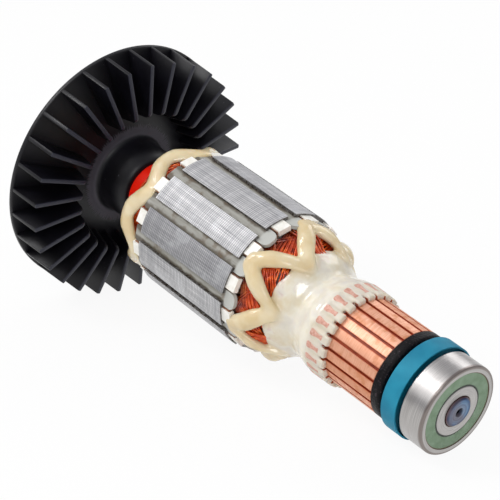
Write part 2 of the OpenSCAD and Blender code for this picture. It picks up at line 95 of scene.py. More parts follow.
def radius_at(outline, station):
    """The outline's radius at a station, held at both ends."""
    for (z0, r0), (z1, r1) in zip(outline, outline[1:]):
        if z0 <= station <= z1:
            return r0 + (r1 - r0) * (station - z0) / (z1 - z0)
    return outline[0][1] if station < outline[0][0] else outline[-1][1]


core_front, core_back = (outline_of("core_stack")[i][0] for i in (0, -1))
riser_back = outline_of("front_end_winding", 11.5)[0][0]
fan_front, fan_back = (outline_of("fan")[i][0] for i in (0, -1))
print("core from", core_front, "to", core_back, "mm")

# %% [markdown]
# The camera stands off the bearing end, above the bench, with a long lens, so the armature
# looks nearly the same size from end to end. The light is that of a light tent. A small key
# lamp inside a large soft one gives the long bright streak along every turned part, with
# a soft border. A small lamp off the bearing end puts a glint on the resin, and a large pale
# one behind keeps the black fan and the upper teeth readable.

# %% Camera and lamps
scene = bpy.context.scene
scene.view_settings.view_transform = "Standard"
lens = bpy.data.cameras.new("camera")
lens.sensor_width = 36.0
lens.lens = 133.65
lens.clip_start = 0.05
camera = bpy.data.objects.new("camera", lens)
camera.location = (0.411369, -0.355117, 0.270099)
camera.rotation_euler = tuple(math.radians(a) for a in (66.5882, 0.0, 49.0575))
scene.collection.objects.link(camera)
scene.camera = camera
CENTRE = Vector((0.0, 0.0, 0.045))


def lamp(name, location, power, width, height):
    """A soft rectangular lamp that faces the armature's middle."""
    data = bpy.data.lights.new(name, "AREA")
    data.shape = "RECTANGLE"
    data.size, data.size_y = width, height
    data.energy = power
    item = bpy.data.objects.new(name, data)
    item.location = location
    item.rotation_euler = (CENTRE - Vector(location)).to_track_quat("-Z", "Y").to_euler()
    scene.collection.objects.link(item)


lamp("key_lamp", (-0.36, -0.38, 0.65), 1.6, 0.20, 0.26)
lamp("key_softbox", (-0.40, -0.42, 0.72), 3.0, 0.90, 0.90)
lamp("front_lamp", (0.70, -0.50, 0.58), 2.2, 0.24, 0.38)
lamp("far_lamp", (-0.10, 0.70, 0.55), 1.6, 0.60, 0.40)
print("camera", round((camera.location - CENTRE).length, 3), "m away")

# %% [markdown]
# The surroundings and every finish are made of nodes. One helper adds a node with its
# settings and links, and another turns an sRGB hex colour into the linear one it takes.

# %% Helpers for colours and nodes


def linear(hex_colour):
    """An sRGB hex colour as the linear colour that the shader takes."""
    values = [int(hex_colour[i:i + 2], 16) / 255 for i in (1, 3, 5)]
    return tuple(v / 12.92 if v <= 0.04045 else ((v + 0.055) / 1.055) ** 2.4
                 for v in values) + (1.0,)


def add(tree, kind, links=None, stops=(), **settings):
    """Adds a node with its settings, its ramp's (place, colour) stops and its links."""
    item = tree.nodes.new(kind if kind.startswith("Node") else "ShaderNode" + kind)
    for key, value in settings.items():
        value = linear(value) if isinstance(value, str) and value[0] == "#" else value
        if hasattr(item, key):
            setattr(item, key, value)
        else:
            socket = int(key[1:]) if key[1:].isdigit() else key.replace("_", " ")
            item.inputs[socket].default_value = value
    for i, (place, colour) in enumerate(stops):
        band = item.color_ramp.elements
        stop = band[i] if i < 2 else band.new(place)
        stop.position, stop.color = place, linear(colour)
    for key, source in (links or {}).items():
        source = source.outputs[0] if hasattr(source, "outputs") else source
        tree.links.new(source, item.inputs[key])
    return item


print("half grey, #808080, is", [round(v, 3) for v in linear("#808080")])

# %% [markdown]
# The armature lies in a light tent. Its colour, and not a stronger lamp, makes the background
# pale. In reflections the tent's walls are greyer than the paper below, which gives the
# polished steel its darker bands, and to matt surfaces the tent is one soft light.

# %% Light tent
world = bpy.data.worlds.new("light_tent")
scene.world = world
world.use_nodes = True
sky = world.node_tree
sky.nodes.clear()
rays = add(sky, "LightPath").outputs
seen = add(sky, "Math", {0: rays["Is Glossy Ray"], 1: rays["Is Transmission Ray"]},
           operation="MAXIMUM")
way = add(sky, "TexCoord")
split = add(sky, "SeparateXYZ", {0: way.outputs["Generated"]})
height = add(sky, "MapRange", {0: split.outputs["Z"]}, _1=-1.0, _2=1.0)
tent = add(sky, "ValToRGB", {0: height}, stops=(
    (0.0, "#ffffff"), (1.0, "#c8c8cc"), (0.49, "#f4f4f4"), (0.53, "#a9a9ac"),
    (0.60, "#b6b6ba"), (0.80, "#c4c4c8")))
soft = add(sky, "Background", _0="#ffffff", _1=0.45)
mirror = add(sky, "Background", {0: tent}, _1=1.0)
white = add(sky, "Background", _0="#ffffff", _1=1.0)
pick = add(sky, "MixShader", {0: seen, 1: soft, 2: mirror})
pick = add(sky, "MixShader", {0: rays["Is Camera Ray"], 1: pick, 2: white})
add(sky, "OutputWorld", {0: pick})
print(world.name, "of", len(tent.color_ramp.elements), "greys")

# %% [markdown]
# The bench is a sheet of white paper. Seen straight or in a reflection it glows a plain
# white, and to all other light it is matt, so it still takes the armature's soft shadow.

# %% Bench paper
paper = bpy.data.materials.new("white_bench_paper")
paper.use_nodes = True
tree = paper.node_tree
tree.nodes.clear()
rays = add(tree, "LightPath").outputs
seen = add(tree, "Math", {0: rays["Is Camera Ray"], 1: rays["Is Glossy Ray"]},
           operation="MAXIMUM")
seen = add(tree, "Math", {0: seen, 1: rays["Is Transmission Ray"]}, operation="MAXIMUM")
seen = add(tree, "Math", {0: seen}, operation="MULTIPLY", _1=0.92)
matt = add(tree, "BsdfDiffuse", _0="#f4f4f4")
glow = add(tree, "Emission", _0="#ffffff", _1=1.0)
blend = add(tree, "MixShader", {0: seen, 1: matt, 2: glow})
add(tree, "OutputMaterial", {0: blend})


def to_mesh(bm):
    """Closes a bmesh into a plain mesh."""
    mesh = bpy.data.meshes.new("piece")
    bm.to_mesh(mesh)
    bm.free()
    return mesh


bm = bmesh.new()
bmesh.ops.create_grid(bm, x_segments=1, y_segments=1, size=3.0)
bench = bpy.data.objects.new("bench", to_mesh(bm))
bench.data.materials.append(paper)
scene.collection.objects.link(bench)
print(bench.name, "of", paper.name)

# %% [markdown]
# Nearly every finish follows the shaft: turned rings, ground laminations, drawn bars. So one
# node group gives each material its place in the shaft frame in millimetres, the turn about
# the shaft in degrees, and the same place unrolled: turn, station and radius as one vector.
# Sheets, teeth, bars and wedges come at an even pitch, so one helper cuts a coordinate into
# such parts, and each part can have a tone of its own and darker edges. Another lays a
# stain, a film or a shadow over a tone: a Map Range turns some measure into the colour's
# share. A Map Range that is given no ends has 0 and 1.

# %% Shaft coordinates for the materials
shaft_space = bpy.data.node_groups.new("shaft_space", "ShaderNodeTree")
for title, kind in (("Place", "NodeSocketVector"), ("Radius", "NodeSocketFloat"),
                    ("Turn", "NodeSocketFloat"), ("Along", "NodeSocketFloat"),
                    ("Unrolled", "NodeSocketVector")):
    shaft_space.interface.new_socket(title, in_out="OUTPUT", socket_type=kind)
where = add(shaft_space, "TexCoord")
lay = add(shaft_space, "Mapping", {0: where.outputs["Object"]}, Location=STAND.to_translation(),
          Rotation=STAND.to_euler(), Scale=(1 / MM,) * 3)
split = add(shaft_space, "SeparateXYZ", {0: lay}).outputs
flat = add(shaft_space, "CombineXYZ", {0: split[0], 1: split[1]})
radius = add(shaft_space, "VectorMath", {0: flat}, operation="LENGTH").outputs["Value"]
turn = add(shaft_space, "Math", {0: split[1], 1: split[0]}, operation="ARCTAN2")
degrees = add(shaft_space, "Math", {0: turn}, operation="DEGREES")
unrolled = add(shaft_space, "CombineXYZ", {0: degrees, 1: split[2], 2: radius})
add(shaft_space, "NodeGroupOutput",
    {0: lay, 1: radius, 2: degrees, 3: split[2], 4: unrolled})
finishes = []


def new_material(name):
    """Starts a material. Returns it, its tree and the shaft coordinates to paint it by."""
    item = bpy.data.materials.new(name)
    item.use_nodes = True
    item.node_tree.nodes.clear()
    finishes.append(item)
    print("finish", name)
    space = add(item.node_tree, "Group", node_tree=shaft_space)
    return item, item.node_tree, space.outputs


def repeat(tree, value, first, pitch):
    """Cuts a coordinate into parts of one pitch. Returns the part's number, and how far from
    the part's middle a point lies, from 0 to 0.5 of a pitch."""
    count = add(tree, "Math", {0: value}, operation="SUBTRACT", _1=first)
    count = add(tree, "Math", {0: count}, operation="DIVIDE", _1=pitch)
    number = add(tree, "Math", {0: count}, operation="FLOOR")
    off = add(tree, "Math", {0: count}, operation="FRACT")
    off = add(tree, "Math", {0: off}, operation="SUBTRACT", _1=0.5)
    return number, add(tree, "Math", {0: off}, operation="ABSOLUTE")


def lay_over(tree, tone, colour, measure, between, shares, where=None):
    """Lays a colour over a tone. Its share goes from the first to the second of the shares as
    a measure goes between two values, and where is another share that it is cut down by."""
    share = add(tree, "MapRange", {0: measure}, _1=between[0], _2=between[1], _3=shares[0],
                _4=shares[1])
    if where is not None:
        share = add(tree, "Math", {0: share, 1: where}, operation="MULTIPLY")
    return add(tree, "Mix", {0: share, 6: tone}, data_type="RGBA", _7=colour).outputs[2]


print(shaft_space.name, "gives", [item.name for item in shaft_space.interface.items_tree])

# %% [markdown]
# **Bearing steel.** The rings are through-hardened chrome steel, ground all over. Grinding
# leaves scratches a few hundredths of a millimetre wide that run around the ring, so the
# noise is stretched along the turn and is fine along the shaft. It is drawn at about 0.1 mm,
# coarser than life, so that it still shows from a distance. The rounded corner of the outer
# ring is only turned, and keeps the brown-grey of the hardening.

# %% Ground bearing steel
CORNER_R = 13.95
CORNER_END = 1.2
ground, tree, space = new_material("ground_bearing_steel")
lay = add(tree, "Mapping", {0: space["Unrolled"]}, Scale=(0.02, 9.0, 9.0))
scratches = add(tree, "TexNoise", {0: lay}, Scale=1.0, Detail=4.0)
smears = add(tree, "TexNoise", {0: space["Place"]}, Scale=0.25, Detail=3.0)
tone = add(tree, "ValToRGB", {0: scratches}, stops=((0.3, "#989593"), (0.7, "#c6c3c1")))
outward = add(tree, "MapRange", {0: space["Radius"]}, _1=CORNER_R, _2=CORNER_R + 0.35)
tone = lay_over(tree, tone, "#6f625c", space["Along"], (CORNER_END - 0.5, CORNER_END),
                (0.7, 0.0), outward)
gloss = add(tree, "MapRange", {0: smears}, _1=0.3, _2=0.7, _3=0.28, _4=0.38)
relief = add(tree, "Bump", {"Height": scratches}, Strength=0.6, Distance=0.006 * MM)
add(tree, "BsdfPrincipled", {"Base Color": tone, "Roughness": gloss, "Normal": relief},
    Metallic=1.0)

# %% [markdown]
# ** Shaft steel.** The shaft's end was turned and then tempered, so its face has rings of
# blue and violet, and a brown rim where the heat was lower. The oxide dulls it a little. The
# middle of the face is painted near black, as painted shade in the centre hole.

# %% Tempered shaft steel
blued, tree, space = new_material("tempered_shaft_steel")
lay = add(tree, "Mapping", {0: space["Unrolled"]}, Scale=(0.01, 0.6, 4.5))
rings = add(tree, "TexNoise", {0: lay}, Scale=1.0, Detail=3.0)
across = add(tree, "MapRange", {0: space["Radius"]}, _2=5.0)
# The ramp's near-black middle is painted shade of the centre hole; the rest is oxide colour.
oxide_and_hole_shade = add(tree, "ValToRGB", {0: across}, stops=(
    (0.0, "#1d1f24"), (1.0, "#6b4438"), (0.24, "#2f3440"), (0.34, "#7d8fa6"),
    (0.50, "#667690"), (0.66, "#6f8cab"), (0.82, "#4c6a90"), (0.93, "#3f4a66")))
heat = add(tree, "TexNoise", {0: space["Place"]}, Scale=0.16, Detail=2.0)
tone = lay_over(tree, oxide_and_hole_shade, "#75686a", heat, (0.42, 0.58), (0.0, 0.6))
tone = lay_over(tree, tone, "#2b3446", rings, (0.4, 0.7), (0.0, 0.35))
gloss = add(tree, "MapRange", {0: rings}, _1=0.3, _2=0.7, _3=0.24, _4=0.42)
relief = add(tree, "Bump", {"Height": rings}, Strength=0.6, Distance=0.02 * MM)
add(tree, "BsdfPrincipled", {"Base Color": tone, "Roughness": gloss, "Normal": relief},
    Metallic=1.0)

# %% [markdown]
# ** Core.** Some eighty sheets of electrical steel, each about 0.5 mm thick, are stacked and
# ground along the outside. The seams show as fine dark lines across each tooth and the
# wheel leaves fine lines along it, so the face looks like woven cloth. Each tooth has a tone
# of its own, brighter or greyer: partly the wheel, and partly painted light, as the tones are
# seeded to fall as light and shade fall on the teeth. Pale patches are partly a film of
# varnish and partly painted sheen, and the walls of the slots are painted a darker brown,
# varnish crumbs with painted shade. The sheets are drawn 0.75 mm thick, coarser than life, so
# that the seams still show.

# %% Laminated electrical steel
TEETH = 12
FIRST_SLOT = 3.6
TOOTH_SHADE_SEED = 2384
SHEET_T = 0.75
CORE_R = 23.95
laminated, tree, space = new_material("ground_electrical_steel")
sheet, off = repeat(tree, space["Along"], 0.0, SHEET_T)
seam = add(tree, "MapRange", {0: off}, _1=0.28, _2=0.5)
lay = add(tree, "Mapping", {0: space["Unrolled"]}, Scale=(2.6, 0.05, 0.3))
wheel = add(tree, "TexNoise", {0: lay}, Scale=1.0, Detail=4.0)
own = add(tree, "TexWhiteNoise", {"W": sheet}, noise_dimensions="1D")
# One tone per tooth, seeded so that brighter and darker teeth fall as light and shade would:
# partly painted light.
tooth = repeat(tree, space["Turn"], FIRST_SLOT, 360 / TEETH)[0]
tooth = add(tree, "Math", {0: tooth}, operation="ADD", _1=TOOTH_SHADE_SEED)
tooth_light_and_shade = add(tree, "TexWhiteNoise", {"W": tooth}, noise_dimensions="1D")
smears = add(tree, "TexNoise", {0: space["Place"]}, Scale=0.11, Detail=3.0)
tone = add(tree, "ValToRGB", {0: wheel}, stops=((0.32, "#a6a6a8"), (0.68, "#f0efef")))
tone = lay_over(tree, tone, "#4b4b50", seam, (0.0, 1.0), (0.0, 0.7))
tone = lay_over(tree, tone, "#808187", own, (0.0, 1.0), (0.0, 0.25))
tone = lay_over(tree, tone, "#78787c", tooth_light_and_shade, (0.0, 1.0), (0.0, 0.45))
# Pale patches: partly a film of varnish, partly painted sheen.
tone = lay_over(tree, tone, "#e6e8ea", smears, (0.56, 0.64), (0.0, 0.18))
# Slot walls painted darker brown: varnish crumbs and painted shade in the slots.
crumbs_and_slot_shade = add(tree, "TexNoise", {0: space["Place"]}, Scale=1.3, Detail=4.0)
crumbs_and_slot_shade = add(tree, "MapRange", {0: crumbs_and_slot_shade}, _1=0.35, _2=0.65, _3=0.5, _4=1.0)
tone = lay_over(tree, tone, "#463c30", space["Radius"], (CORE_R - 0.25, CORE_R - 0.02),
                (1.0, 0.0), crumbs_and_slot_shade)
gloss = add(tree, "MapRange", {0: smears}, _1=0.35, _2=0.6, _3=0.70, _4=0.66)
ridge = add(tree, "Math", {0: wheel, 1: seam}, operation="SUBTRACT")
relief = add(tree, "Bump", {"Height": ridge}, Strength=0.6, Distance=0.03 * MM)
add(tree, "BsdfPrincipled", {"Base Color": tone, "Roughness": gloss, "Normal": relief},
    Metallic=0.92)

# %% [markdown]
# ** Commutator copper.** The bars are drawn copper, turned true and lightly run in by the
# brushes: pinkish, with faint rings around the track, a tone of its own on each bar, and a
# darker red at the edges of the slots, where no brush has wiped the copper clean. The slot
# walls are painted a deeper red, as painted shade and painted reflection of copper on copper.
# The brushes leave a matt film, so the copper counts as only half metal here.

# %% Turned commutator copper
BARS = 24
TRACK_R = 14.75
track, tree, space = new_material("turned_commutator_copper")
lay = add(tree, "Mapping", {0: space["Unrolled"]}, Scale=(0.05, 5.0, 0.5))
rings = add(tree, "TexNoise", {0: lay}, Scale=1.0, Detail=4.0)
blots = add(tree, "TexNoise", {0: space["Place"]}, Scale=0.35, Detail=4.0)
bar, off = repeat(tree, space["Turn"], FIRST_SLOT + 180 / BARS, 360 / BARS)
own = add(tree, "TexWhiteNoise", {"W": bar}, noise_dimensions="1D")
tone = add(tree, "ValToRGB", {0: rings}, stops=((0.3, "#df9d7d"), (0.7, "#f4bfa4")))
tone = lay_over(tree, tone, "#c97b49", blots, (0.50, 0.66), (0.0, 0.6))
tone = lay_over(tree, tone, "#c8825a", own, (0.3, 1.0), (0.0, 0.7))
tone = lay_over(tree, tone, "#c4562c", off, (0.30, 0.39), (0.0, 0.7))
# The slot walls below the track: painted shade and painted copper reflection.
tone = lay_over(tree, tone, "#b0401a", space["Radius"], (TRACK_R - 0.4, TRACK_R - 0.02),
                (1.0, 0.0))
gloss = add(tree, "MapRange", {0: blots}, _1=0.3, _2=0.7, _3=0.44, _4=0.56)
relief = add(tree, "Bump", {"Height": rings}, Strength=0.5, Distance=0.012 * MM)
add(tree, "BsdfPrincipled", {"Base Color": tone, "Roughness": gloss, "Normal": relief},
    Metallic=0.55)

# %% [markdown]
# ** Wire.** It is copper with a clear amber enamel: the metal is seen through a coloured,
# glossy film, so it looks a deep orange red with small white glints. A coat on a partly
# metallic base says that. There are three shades: a darker one for some turns, partly dark
# varnish and partly painted shade between the wires, and a bright one for a few, a painted
# highlight. Near the core the wire is painted nearly black: pooled varnish and painted shade.

# %% Enamelled wire
core_mid = (core_front + core_back) / 2
core_half = (core_back - core_front) / 2
enamels = []
# The darker and brighter copies of the enamel are partly painted shade and painted highlight.
for shade, deep, middle_tone, light in (
        ("", "#8a1e04", "#d64a10", "#fb8238"), ("_varnish_and_painted_shade", "#340a03", "#7e2208", "#bf4812"),
        ("_painted_highlight", "#d85818", "#ff9448", "#ffc08a")):
    enamel, tree, space = new_material("enamelled_copper_wire" + shade)
    runs = add(tree, "TexNoise", {0: space["Place"]}, Scale=0.45, Detail=3.0)
    tone = add(tree, "ValToRGB", {0: runs},
               stops=((0.30, deep), (0.70, light), (0.50, middle_tone)))
    # Darker towards the core: pooled varnish, and painted shade in the hollow there.
    varnish_pool_and_shade_reach = add(tree, "Math", {0: space["Along"]}, operation="SUBTRACT", _1=core_mid)
    varnish_pool_and_shade_reach = add(tree, "Math", {0: varnish_pool_and_shade_reach}, operation="ABSOLUTE")
    tone = lay_over(tree, tone, "#2a0904", varnish_pool_and_shade_reach, (core_half + 3.0, core_half + 7.5),
                    (0.9, 0.0))
    gloss = add(tree, "MapRange", {0: runs}, _1=0.3, _2=0.7, _3=0.16, _4=0.28)
    add(tree, "BsdfPrincipled", {"Base Color": tone, "Roughness": gloss}, Metallic=0.35,
        Specular_IOR_Level=0.15, Coat_Weight=0.8, Coat_Roughness=0.03)
    enamels.append(enamel)

# %% [markdown]
# ** A recipe for the plainer finishes.** Poured, moulded, cut and pressed stuff is mottled in
# much the same way: one noise shifts its tone, and that noise or a finer grain raises its
# face a little. The noise is stretched where the stuff has a direction. So one function
# makes these finishes, and each call says what is particular to the material. The first is
# the varnish in and under the winding. It is nearly black, so that as the bed under the wires
# it also stands for the shaded wires below them: painted shade.

# %% The recipe, and varnish with painted shade


def mottled(name, scale, detail, stops, bump=None, grain=None, coordinates="Place",
            stretch=None, **surface):
    """A finish with one noise as its tone. bump is a strength and a depth in millimetres,
    grain the scale and detail of a finer noise to raise in place of the first."""
    item, tree, space = new_material(name)
    place = space[coordinates]
    if stretch:
        place = add(tree, "Mapping", {0: place}, Scale=stretch)
    raised = add(tree, "TexNoise", {0: place}, Scale=scale, Detail=detail)
    links = {"Base Color": add(tree, "ValToRGB", {0: raised}, stops=stops)}
    if grain:
        raised = add(tree, "TexNoise", {0: space["Place"]}, Scale=grain[0], Detail=grain[1])
    if bump:
        links["Normal"] = add(tree, "Bump", {"Height": raised}, Strength=bump[0],
                              Distance=bump[1] * MM)
    add(tree, "BsdfPrincipled", links, **surface)
    return item


# Nearly black: varnish, and painted shade for the wires under the top ones.
varnish_and_gap_shade = mottled("winding_varnish_and_gap_shade", 0.9, 4.0, ((0.35, "#140607"), (0.70, "#42150b")),
                  bump=(0.8, 0.2), Roughness=0.3)

# %% [markdown]
# **Lead copper.** The lead ends were turned together with the resin, so the copper is fresh
# and pink, with a matt face smeared by the tool.

# %% Cut lead copper
lead = mottled("cut_lead_copper", 1.4, 3.0,
               ((0.30, "#c68c7a"), (0.75, "#e0b9aa"), (0.55, "#d6a493")),
               bump=(0.6, 0.05), Metallic=0.15, Roughness=0.5)

# %% [markdown]
# **Resin.** The cord is a thick cream potting resin, which set glossy and yellower where it
# is deep. The skin over the leads is thinner and milky, and blushes where the copper shows
# through its thin rim. Light goes a little way into both, so they get a share of scattering,
# in millimetres. Each point of the mesh knows how near the cord is, and the tones meet there.

# %% Potting resin
SCATTER = 1.5 * MM
CREAM = ((0.35, "#dbc599"), (0.65, "#e5d6b4"))
cord_resin = mottled("cream_potting_resin", 0.16, 2.0, CREAM, bump=(0.5, 0.25),
                     grain=(0.35, 2.0), Roughness=0.1, IOR=1.58, Subsurface_Weight=0.3,
                     Subsurface_Scale=SCATTER, Subsurface_Radius=(1.0, 0.7, 0.4))

lead_resin, tree, space = new_material("milky_lead_resin")
cloud = add(tree, "TexNoise", {0: space["Place"]}, Scale=0.17, Detail=3.0)
milk = add(tree, "ValToRGB", {0: cloud},
           stops=((0.33, "#e2d7be"), (0.70, "#ddd6cc"), (0.50, "#ebe5d6")))
crown = add(tree, "MapRange", {0: space["Along"]}, _1=riser_back - 0.5, _2=riser_back + 2.0,
            _3=0.6, _4=0.0)
milk = add(tree, "Mix", {0: crown, 6: milk}, data_type="RGBA", _7="#cfc4b4").outputs[2]
blush = add(tree, "TexNoise", {0: space["Place"]}, Scale=0.28, Detail=3.0, Distortion=1.2)
blush = add(tree, "MapRange", {0: blush}, _1=0.55, _2=0.68, _4=0.5)
milk = lay_over(tree, milk, "#cfa39c", space["Along"],
                (core_front - 19.0, core_front - 14.5), (0.0, 1.0), blush)
swirl = add(tree, "TexNoise", {0: space["Place"]}, Scale=0.16, Detail=2.0)
cream = add(tree, "ValToRGB", {0: swirl}, stops=CREAM)
near_cord = add(tree, "Attribute", attribute_name="cord").outputs["Fac"]
tone = add(tree, "Mix", {0: near_cord, 6: milk, 7: cream}, data_type="RGBA").outputs[2]
waves = add(tree, "TexNoise", {0: space["Place"]}, Scale=0.4, Detail=2.0)
relief = add(tree, "Bump", {"Height": waves}, Strength=0.5, Distance=0.25 * MM)
gloss = add(tree, "MapRange", {0: crown}, _2=0.6, _3=0.1, _4=0.4)
add(tree, "BsdfPrincipled", {"Base Color": tone, "Roughness": gloss, "Normal": relief},
    IOR=1.58, Subsurface_Weight=0.35, Subsurface_Scale=SCATTER,
    Subsurface_Radius=(1.0, 0.85, 0.6))

# %% [markdown]
# ** Insulation.** The end insulators are moulded nylon, off-white. The slot liners are brown
# pressboard, with fibres along the shaft and edges that the knife left rough. The wedges are
# grey-green vulcanised fibre with a dull face and varnish stains, and their edges beside the
# teeth are painted darker: painted shade in the corners of the slots, with some varnish.

# %% Nylon, slot paper and wedge fibre
nylon = mottled("white_moulded_nylon", 0.5, 3.0, ((0.35, "#efece3"), (0.65, "#fbf9f4")),
                bump=(0.5, 0.03), grain=(2.0, 3.0), Roughness=0.42)
liner = mottled("brown_slot_paper", 1.5, 3.0, ((0.3, "#5d3d2e"), (0.7, "#a8795c")),
                bump=(0.5, 0.05), stretch=(1.0, 1.0, 0.15), Roughness=0.6)

fibre, tree, space = new_material("grey_vulcanised_fibre")
lay = add(tree, "Mapping", {0: space["Place"]}, Scale=(1.0, 1.0, 0.12))
strands = add(tree, "TexNoise", {0: lay}, Scale=0.8, Detail=4.0)
blots = add(tree, "TexNoise", {0: space["Place"]}, Scale=0.3, Detail=5.0)
tone = add(tree, "ValToRGB", {0: strands}, stops=((0.3, "#8d8b83"), (0.7, "#aeada6")))
tip = add(tree, "MapRange", {0: space["Along"]}, _1=core_front - 0.4, _2=core_front + 0.4,
          _3=1.0, _4=0.0)
tone = add(tree, "Mix", {0: tip, 6: tone}, data_type="RGBA", _7="#bcbdb8").outputs[2]
# Darker edges beside the teeth: painted shade in the slot corners, with varnish.
slot_corner_shade = repeat(tree, space["Turn"], FIRST_SLOT - 180 / TEETH, 360 / TEETH)[1]
slot_corner_shade = add(tree, "Math", {0: slot_corner_shade}, operation="MULTIPLY", _1=360 / TEETH)
ragged = add(tree, "MapRange", {0: blots}, _1=0.3, _2=0.7, _3=-1.2, _4=1.2)
slot_corner_shade = add(tree, "Math", {0: slot_corner_shade, 1: ragged}, operation="ADD")
face_only = add(tree, "Math", {1: tip}, operation="SUBTRACT", _0=1.0)
tone = lay_over(tree, tone, "#4f4434", slot_corner_shade, (1.6, 3.6), (0.0, 0.85), face_only)
tone = lay_over(tree, tone, "#6b5238", blots, (0.56, 0.70), (0.0, 0.5), face_only)
relief = add(tree, "Bump", {"Height": strands}, Strength=0.5, Distance=0.04 * MM)
add(tree, "BsdfPrincipled", {"Base Color": tone, "Normal": relief}, Roughness=0.5)

# %% [markdown]
# ** Sleeve and mica.** The sleeve between the core and the fan is a hard, glossy red plastic
# with fine lines from its die. The gaps between the bars are cut back to mica sheet, which
# the tool has smeared with copper. Its red-brown is also lighter than the deep slots would
# show, as painted reflection of the copper walls into them.

# %% Red sleeve and mica
red = mottled("red_sleeve_plastic", 1.0, 2.0, ((0.35, "#fa1000"), (0.65, "#ff2c0e")),
              bump=(0.5, 0.03), coordinates="Unrolled", stretch=(1.4, 0.05, 0.3),
              Roughness=0.35, Specular_IOR_Level=0.2)
# Red-brown: copper smear, lifted as painted reflection from the copper walls.
mica = mottled("mica_copper_smear_and_painted_reflection", 1.2, 3.0, ((0.3, "#7d2a14"), (0.7, "#b24a24")),
               stretch=(1.0, 1.0, 0.3), Roughness=0.55)

# %% [markdown]
# ** Black mouldings.** The fan is glass-filled nylon, nearly black and satin, with a few
# specks of dust and a painted highlight, a paler line, along the fronts of its blades. The flat
# ring around its hub was machined after moulding, which leaves a paler, duller band with a
# ragged outer edge. The commutator's body is black phenolic, with small chips from turning.

# %% Black nylon and phenolic
BAND_IN = 14.6
BAND_OUT = 17.7
DISC_T = 1.5
BLADE_TIP_R = 43.3
BLADE_ROOT_R = 24.1
BLADE_H = 12.6
BLADE_RISE = 1.5
tip_z = fan_back - DISC_T - BLADE_H
root_z = tip_z - BLADE_RISE
BLADE_SLOPE = BLADE_RISE / (BLADE_TIP_R - BLADE_ROOT_R)
blade_front = root_z - BLADE_SLOPE * BLADE_ROOT_R
black, tree, space = new_material("black_glass_filled_nylon")
flow = add(tree, "TexNoise", {0: space["Place"]}, Scale=0.12, Detail=3.0)
dust = add(tree, "TexNoise", {0: space["Place"]}, Scale=1.1, Detail=2.0)
tone = add(tree, "ValToRGB", {0: flow}, stops=((0.35, "#050409"), (0.70, "#0d0c14")))
tone = lay_over(tree, tone, "#66646c", dust, (0.74, 0.78), (0.0, 0.5))
lay = add(tree, "Mapping", {0: space["Unrolled"]}, Scale=(0.8, 0.0, 0.05))
ragged = add(tree, "TexNoise", {0: lay}, Scale=1.0, Detail=5.0)
ragged = add(tree, "MapRange", {0: ragged}, _1=0.3, _2=0.7, _3=-1.6, _4=1.6)
edge = add(tree, "Math", {0: space["Radius"], 1: ragged}, operation="ADD")
outer = add(tree, "MapRange", {0: edge}, _1=BAND_OUT - 0.2, _2=BAND_OUT, _3=1.0, _4=0.0)
inner = add(tree, "MapRange", {0: space["Radius"]}, _1=BAND_IN - 0.6, _2=BAND_IN)
band = add(tree, "Math", {0: outer, 1: inner}, operation="MULTIPLY")
tone = add(tree, "Mix", {0: band, 6: tone}, data_type="RGBA", _7="#423f47").outputs[2]
# A paler line along the blades' front edges: painted highlight.
front = add(tree, "Math", {0: space["Radius"]}, operation="MULTIPLY", _1=-BLADE_SLOPE)
front = add(tree, "Math", {0: space["Along"], 1: front}, operation="ADD")
blade_highlight_mask = add(tree, "MapRange", {0: space["Radius"]}, _1=21.5, _2=22.5)
tone = lay_over(tree, tone, "#2b2c38", front, (blade_front + 0.25, blade_front + 0.4),
                (0.8, 0.0), blade_highlight_mask)
gloss = add(tree, "MapRange", {0: band}, _3=0.40, _4=0.62)
grain = add(tree, "TexNoise", {0: space["Place"]}, Scale=0.9, Detail=3.0)
relief = add(tree, "Bump", {"Height": grain}, Strength=0.4, Distance=0.03 * MM)
add(tree, "BsdfPrincipled", {"Base Color": tone, "Roughness": gloss, "Normal": relief},
    Specular_IOR_Level=0.35)

phenolic = mottled("black_phenolic", 1.3, 4.0,
                   ((0.35, "#040305"), (0.72, "#41343b"), (0.60, "#0e0a0e")),
                   bump=(0.9, 0.25), Roughness=0.45, Specular_IOR_Level=0.15)

# %% [markdown]
# ** Rubber and cage.** The dust ring is matt teal rubber with a faint bloom. The bearing's
# seals are sage-green rubber, with a line of brown grease at the outer edge and a painted
# shadow at the inner one, where the seal meets the inner ring. The cage behind them is tan
# moulded nylon.

# %% Rubber and cage nylon
SEAL_RIM_R = 12.7
SEAL_LIP_R = 8.85
teal = mottled("teal_rubber", 0.15, 2.0, ((0.35, "#0e7a99"), (0.70, "#1f8dab")),
               bump=(0.5, 0.02), grain=(3.0, 3.0), Roughness=0.6, Specular_IOR_Level=0.3)
cage_nylon = mottled("tan_cage_nylon", 0.6, 3.0, ((0.3, "#a8986c"), (0.7, "#c6b78c")),
                     Roughness=0.5)

sage, tree, space = new_material("sage_seal_rubber")
press = add(tree, "TexNoise", {0: space["Place"]}, Scale=0.3, Detail=3.0)
tone = add(tree, "ValToRGB", {0: press}, stops=((0.35, "#6b8668"), (0.70, "#80997f")))
tone = lay_over(tree, tone, "#5c3a22", space["Radius"],
                (SEAL_RIM_R - 0.08, SEAL_RIM_R + 0.08), (0.0, 0.85))
# Dark ring at the seal's inner edge: painted shadow where it meets the inner ring.
tone = lay_over(tree, tone, "#20281f", space["Radius"],
                (SEAL_LIP_R - 0.1, SEAL_LIP_R + 0.1), (0.9, 0.0))
grain = add(tree, "TexNoise", {0: space["Place"]}, Scale=2.5, Detail=3.0)
relief = add(tree, "Bump", {"Height": grain}, Strength=0.5, Distance=0.02 * MM)
add(tree, "BsdfPrincipled", {"Base Color": tone, "Normal": relief}, Roughness=0.5)

# %% [markdown]
# Every finish ends in one principled surface, so a loop joins them all to their outputs.

